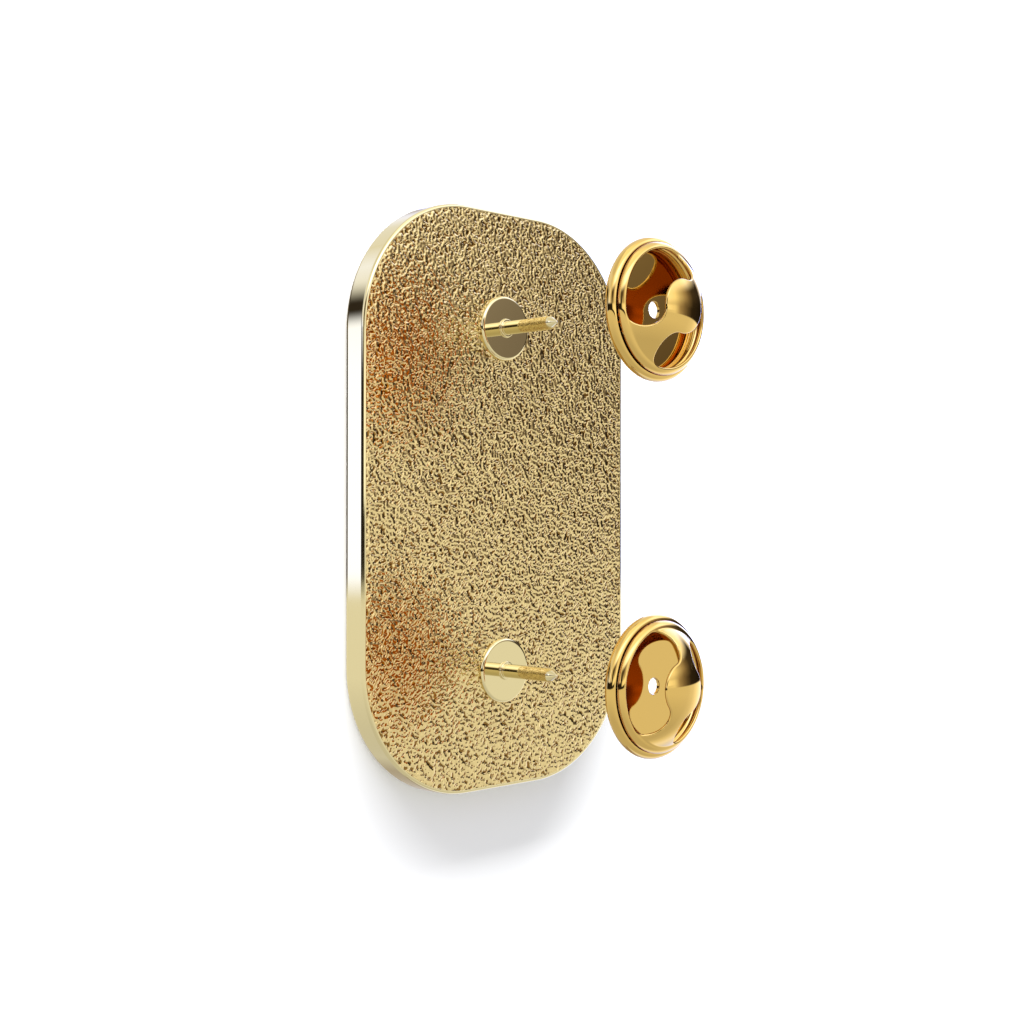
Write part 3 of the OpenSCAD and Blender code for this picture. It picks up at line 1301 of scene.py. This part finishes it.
@dataclass
class Studio:
    """A pale floor, soft light round it and the camera at the photo's angle.

    Attributes:
        focal_mm: Focal length of the camera.
        sensor_mm: Width of its sensor.
        yaw: Turn of the camera about the y axis, in degrees.
        pitch: Its tilt, in degrees.
        roll: Its roll, in degrees.
        shift_mm: Place of the middle of the pin's back as the camera sees it: right, up and ahead.
        back_height: Height of the pin's back above the floor.
        floor_half: Half the width of the floor.
        floor_colour: Colour of the floor.
        floor_roughness: How dull the floor is.
        ambient: Brightness of the plain light all round.
        side_light: How much brighter it is from the left.
        key_power: Power of the softbox, in watts.
        key_width: Width of the softbox.
        key_height: Height of the softbox.
        key_distance: Distance of the softbox.
        key_elevation: Elevation of the softbox, in degrees.
        key_side: Turn of the softbox to the right of the y axis, in degrees.
        brightest: Brightness at a ramp's full value.
        table_dims: Sines of the elevations between which the table dims towards the pin.
        table_dimmed: Brightness of the table close to the pin, as a share.
        dark_tint: Tint of dark gaps.
        glare_from: Brightness at which glare begins, on the side that the back faces.
        glare_from_behind: Brightness at which it begins on the other side.
        glare_tint: Tint of glare.
    """

    focal_mm: float = 52.773
    sensor_mm: float = 36.0
    yaw: float = 44.813
    pitch: float = 0.126
    roll: float = -0.060
    shift_mm: tuple[float, float, float] = (-0.746, 1.430, 134.848)
    back_height: float = 2.6 * MM
    floor_half: float = 3.0
    floor_colour: str = "#F4F5F7"
    floor_roughness: float = 0.9
    ambient: float = 0.58
    side_light: float = 1.1
    key_power: float = 30.0
    key_width: float = 1.3
    key_height: float = 0.24
    key_distance: float = 0.8
    key_elevation: float = 14.0
    key_side: float = -5.0
    brightest: float = 6.0
    table_dims: tuple[float, float] = (-0.7, -0.2)
    table_dimmed: float = 0.75
    dark_tint: tuple[float, float, float] = (1.25, 1.0, 0.88)
    glare_from: float = 1.6
    glare_from_behind: float = 1.0
    glare_tint: tuple[float, float, float] = (0.25, 0.36, 1.0)

    def build_camera(self) -> None:
        """Places the camera where it sees the pin as the photo does."""
        yaw, pitch, roll = (math.radians(angle) for angle in (self.yaw, self.pitch, self.roll))
        right = Vector((math.cos(yaw), 0, math.sin(yaw)))
        ahead = Vector((math.sin(yaw), 0, -math.cos(yaw)))
        up = Vector((0, 1, 0))
        place = -(right * self.shift_mm[0] + up * self.shift_mm[1] + ahead * self.shift_mm[2]) * MM
        place.z += self.back_height
        tilted_ahead = up * math.sin(pitch) + ahead * math.cos(pitch)
        tilted_up = up * math.cos(pitch) - ahead * math.sin(pitch)
        rolled_right = right * math.cos(roll) - tilted_up * math.sin(roll)
        rolled_up = right * math.sin(roll) + tilted_up * math.cos(roll)
        data = bpy.data.cameras.new("camera")
        data.lens, data.sensor_width = self.focal_mm, self.sensor_mm
        data.clip_start, data.clip_end = 5 * MM, 20.0
        camera = bpy.data.objects.new("camera", data)
        turn = Matrix((rolled_right, rolled_up, -tilted_ahead)).transposed()
        camera.matrix_world = Matrix.Translation(place) @ turn.to_4x4()
        bpy.context.scene.collection.objects.link(camera)
        bpy.context.scene.camera = camera

    def build_floor(self) -> None:
        """Lays the plain pale floor, which the pin's mirrors see as the painted table instead."""
        half = self.floor_half
        mesh = bpy.data.meshes.new("floor")
        corners = [(-half, -half, 0), (half, -half, 0), (half, half, 0), (-half, half, 0)]
        mesh.from_pydata(corners, [], [(0, 1, 2, 3)])
        # Matt paint on a smooth board: even and pale, with nothing mirrored in it.
        material = bpy.data.materials.new("matt_painted_board")
        material.use_nodes = True
        shader = material.node_tree.nodes["Principled BSDF"]
        shader.inputs["Base Color"].default_value = linear(self.floor_colour)
        shader.inputs["Roughness"].default_value = self.floor_roughness
        floor = new_piece("floor", mesh, material)
        floor.visible_glossy = False

    def shade(self, azimuth: float, brightness: float) -> tuple[float, float, float, float]:
        """Tints a brightness. Dark gaps look warm and glare looks cool, as a camera shows them.

        Args:
            azimuth: Its azimuth in degrees. Past 90 it lies behind the pin.
            brightness: The brightness, above 0.

        Returns:
            The colour for a ramp whose full value is the brightest.
        """
        glare_from = self.glare_from if abs(azimuth) < 90 else self.glare_from_behind
        gap, glare = max(1 - brightness, 0), max(1 - glare_from / brightness, 0)
        tints = zip(self.dark_tint, self.glare_tint)
        tones = (1 + (dark - 1) * gap + (bright - 1) * glare for dark, bright in tints)
        red, green, blue = (brightness * tone / self.brightest for tone in tones)
        return (red, green, blue, 1.0)

    def mirrored_light(self, tree: bpy.types.NodeTree, way: dict[str, Any]) -> bpy.types.Node:
        """Paints what the pin's mirrors see: pale softboxes, dark gaps between them and the table.

        Args:
            tree: The world's node tree.
            way: The direction that is seen, split into X, Y and Z.

        Returns:
            The background node that shines it.
        """
        turn = add_node(tree, "ShaderNodeMath", {"operation": "ARCTAN2"}, {0: way["X"], 1: way["Z"]})
        spot = add_node(
            tree,
            "ShaderNodeMapRange",
            {},
            {"Value": turn.outputs[0], "From Min": -math.pi, "From Max": math.pi},
        )
        dims_from, dims_to = self.table_dims
        dimmed = add_node(
            tree,
            "ShaderNodeMapRange",
            {},
            {
                "Value": way["Y"],
                "From Min": dims_from,
                "From Max": dims_to,
                "To Min": self.table_dimmed,
                "To Max": 1.0,
            },
        )
        colours = []
        for band in BANDS:
            ramp = add_node(tree, "ShaderNodeValToRGB", {}, {"Fac": spot.outputs[0]})
            elements = ramp.color_ramp.elements
            for i, (azimuth, brightness) in enumerate(band.stops):
                place = azimuth / 360 + 0.5
                element = elements[i] if i < 2 else elements.new(place)
                element.position = place
                element.color = self.shade(azimuth, brightness)
            colours.append(ramp.outputs["Color"])
        whole = add_node(
            tree,
            "ShaderNodeVectorMath",
            {"operation": "SCALE"},
            {0: colours[0], "Scale": dimmed.outputs[0]},
        ).outputs[0]
        for band, colour in zip(BANDS[1:], colours[1:]):
            start, end = (math.sin(math.radians(elevation)) for elevation in band.rise)
            fade = add_node(
                tree,
                "ShaderNodeMapRange",
                {"interpolation_type": "SMOOTHSTEP"},
                {"Value": way["Y"], "From Min": start, "From Max": end},
            )
            whole = add_node(
                tree,
                "ShaderNodeMix",
                {"data_type": "RGBA"},
                {0: fade.outputs[0], COLOUR_A: whole, COLOUR_B: colour},
            ).outputs[MIXED]
        return add_node(tree, "ShaderNodeBackground", {}, {"Color": whole, "Strength": self.brightest})

    def build_world(self) -> None:
        """Surrounds the pin with soft light.

        The pin's mirrors see the painted bands. The floor is lit by plain light, and the camera sees
        plain pale ground past it.
        """
        world = bpy.data.worlds.new("studio")
        world.use_nodes = True
        bpy.context.scene.world = world
        tree = world.node_tree
        tree.nodes.clear()
        direction = add_node(tree, "ShaderNodeTexCoord").outputs["Generated"]
        way = add_node(tree, "ShaderNodeSeparateXYZ", {}, {0: direction}).outputs
        seen = self.mirrored_light(tree, way)
        # The floor is lit more from the left, so that no shadow gathers on that side.
        leftward = add_node(
            tree,
            "ShaderNodeMapRange",
            {},
            {
                "Value": way["X"],
                "From Min": 0.0,
                "From Max": -1.0,
                "To Min": self.ambient,
                "To Max": self.ambient + self.side_light,
            },
        )
        rays = add_node(tree, "ShaderNodeLightPath").outputs
        strength = add_node(
            tree,
            "ShaderNodeMath",
            {"operation": "MAXIMUM"},
            {0: leftward.outputs[0], 1: rays["Is Camera Ray"]},
        )
        plain = add_node(
            tree,
            "ShaderNodeBackground",
            {},
            {"Color": linear("#FFFFFF"), "Strength": strength.outputs[0]},
        )
        both = add_node(
            tree,
            "ShaderNodeMixShader",
            {},
            {0: rays["Is Glossy Ray"], 1: plain.outputs[0], 2: seen.outputs[0]},
        )
        add_node(tree, "ShaderNodeOutputWorld", {}, {"Surface": both.outputs[0]})

    def build_key(self) -> None:
        """Hangs a broad low softbox beyond the pin's upper end, for the soft shadow below it."""
        data = bpy.data.lights.new("softbox", "AREA")
        data.shape = "RECTANGLE"
        data.size, data.size_y = self.key_width, self.key_height
        data.energy = self.key_power
        light = bpy.data.objects.new("softbox", data)
        rise, side = math.radians(self.key_elevation), math.radians(self.key_side)
        away = Vector((math.sin(side) * math.cos(rise), math.cos(side) * math.cos(rise), math.sin(rise)))
        facing = away.to_track_quat("Z", "Y").to_matrix().to_4x4()
        light.matrix_world = Matrix.Translation(away * self.key_distance) @ facing
        light.visible_glossy = False
        light.visible_camera = False
        bpy.context.scene.collection.objects.link(light)


@dataclass
class Finishes:
    """The finishes of the whole pin.

    Attributes:
        edge: Shell, feet and posts.
        back: Pebbled back.
        outside: Outside of the clutches.
        inside: Inside of the clutches' caps, darker and redder as painted shade.
        beneath: Undersides of the clutches, redder as a painted warm reflection.
    """

    edge: bpy.types.Material
    back: bpy.types.Material
    outside: bpy.types.Material
    inside: bpy.types.Material
    beneath: bpy.types.Material


def build_finishes() -> Finishes:
    """Builds every finish of the pin.

    Returns:
        The finishes.
    """
    return Finishes(
        # Pale plating, polished: sharp light and dark bands along the edge.
        edge=PolishedPlating("gold_plating_polished", Gold.CHAMPAGNE).build(),
        # The same plating over the cast grain: a sparkle of light crests, with painted shade browning the
        # hollows.
        back=PebbledPlating("gold_plating_over_pebbled_casting", Gold.HONEY).build(),
        # Deeper yellow plating on pressed sheet: smooth mirrors with soft bends.
        outside=PolishedPlating("gold_plating_on_pressed_brass", Gold.DEEP).build(),
        # Inside the cap the plating is painted a dull red-brown: painted shade in the hollow under the
        # dome.
        inside=PolishedPlating(
            "gold_plating_inside_pressed_brass_painted_shade", Gold.SHADED_RUSSET, INNER_ROUGHNESS
        ).build(),
        # The underside is painted a redder copper, a painted warm reflection that the plate's mirror shows
        # orange.
        beneath=PolishedPlating(
            "gold_plating_under_pressed_brass_painted_reflection", Gold.REFLECTED_COPPER, INNER_ROUGHNESS
        ).build(),
    )


def add_to_part(piece: bpy.types.Object, body: str, node: str | None = None) -> None:
    """Adds a finished piece to the part and reports it.

    Args:
        piece: The piece.
        body: The body that it rides on.
        node: The CAD node that it replaces, if any.
    """
    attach(piece, body)
    if node:
        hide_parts(node)
    LOG.info("%s rides on %s", piece.name, body)


def main() -> None:
    """Builds the pin, its clutches and the studio, and reports each piece."""
    logging.basicConfig(level=logging.INFO, format="%(name)s: %(message)s")
    bpy.context.scene.view_settings.view_transform = "Standard"
    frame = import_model()
    members = frame["record"]["behaviour"]["bodies"]
    bodies = {node: body for body, nodes in members.items() for node in nodes}
    finishes = build_finishes()

    clutches = {}
    for which, turn in CLUTCH_TURNS.items():
        low, high = (Vector(corner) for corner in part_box(f"{which}_clutch_base"))
        centre = Vector(((low.x + high.x) / 2, (low.y + high.y) / 2, low.z))
        rim_radius = (high.x - low.x) / 2
        clutches[which] = Clutch(f"{which}_clutch_sheet", centre, math.radians(turn), rim_radius)
    gap = clutches["upper"].centre.y - clutches["lower"].centre.y

    low, high = (Vector(corner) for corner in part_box(PLATE_NODE))
    plate = Plate(low, high)
    add_to_part(plate.build_shell(finishes.edge), PIN_BODY, PLATE_NODE)
    add_to_part(plate.build_back(finishes.back), PIN_BODY)
    posts = Posts(plate.thickness, high.z, gap)
    add_to_part(posts.build(finishes.edge), PIN_BODY)
    for which, clutch in clutches.items():
        base, cap = f"{which}_clutch_base", f"{which}_clutch_cap"
        add_to_part(clutch.build_base(finishes.outside, finishes.beneath), bodies[base], base)
        add_to_part(clutch.build_cap(finishes.outside, finishes.inside), bodies[cap], cap)

    studio = Studio()
    studio.build_camera()
    studio.build_floor()
    studio.build_world()
    studio.build_key()


if __name__ == "__main__":
    main()
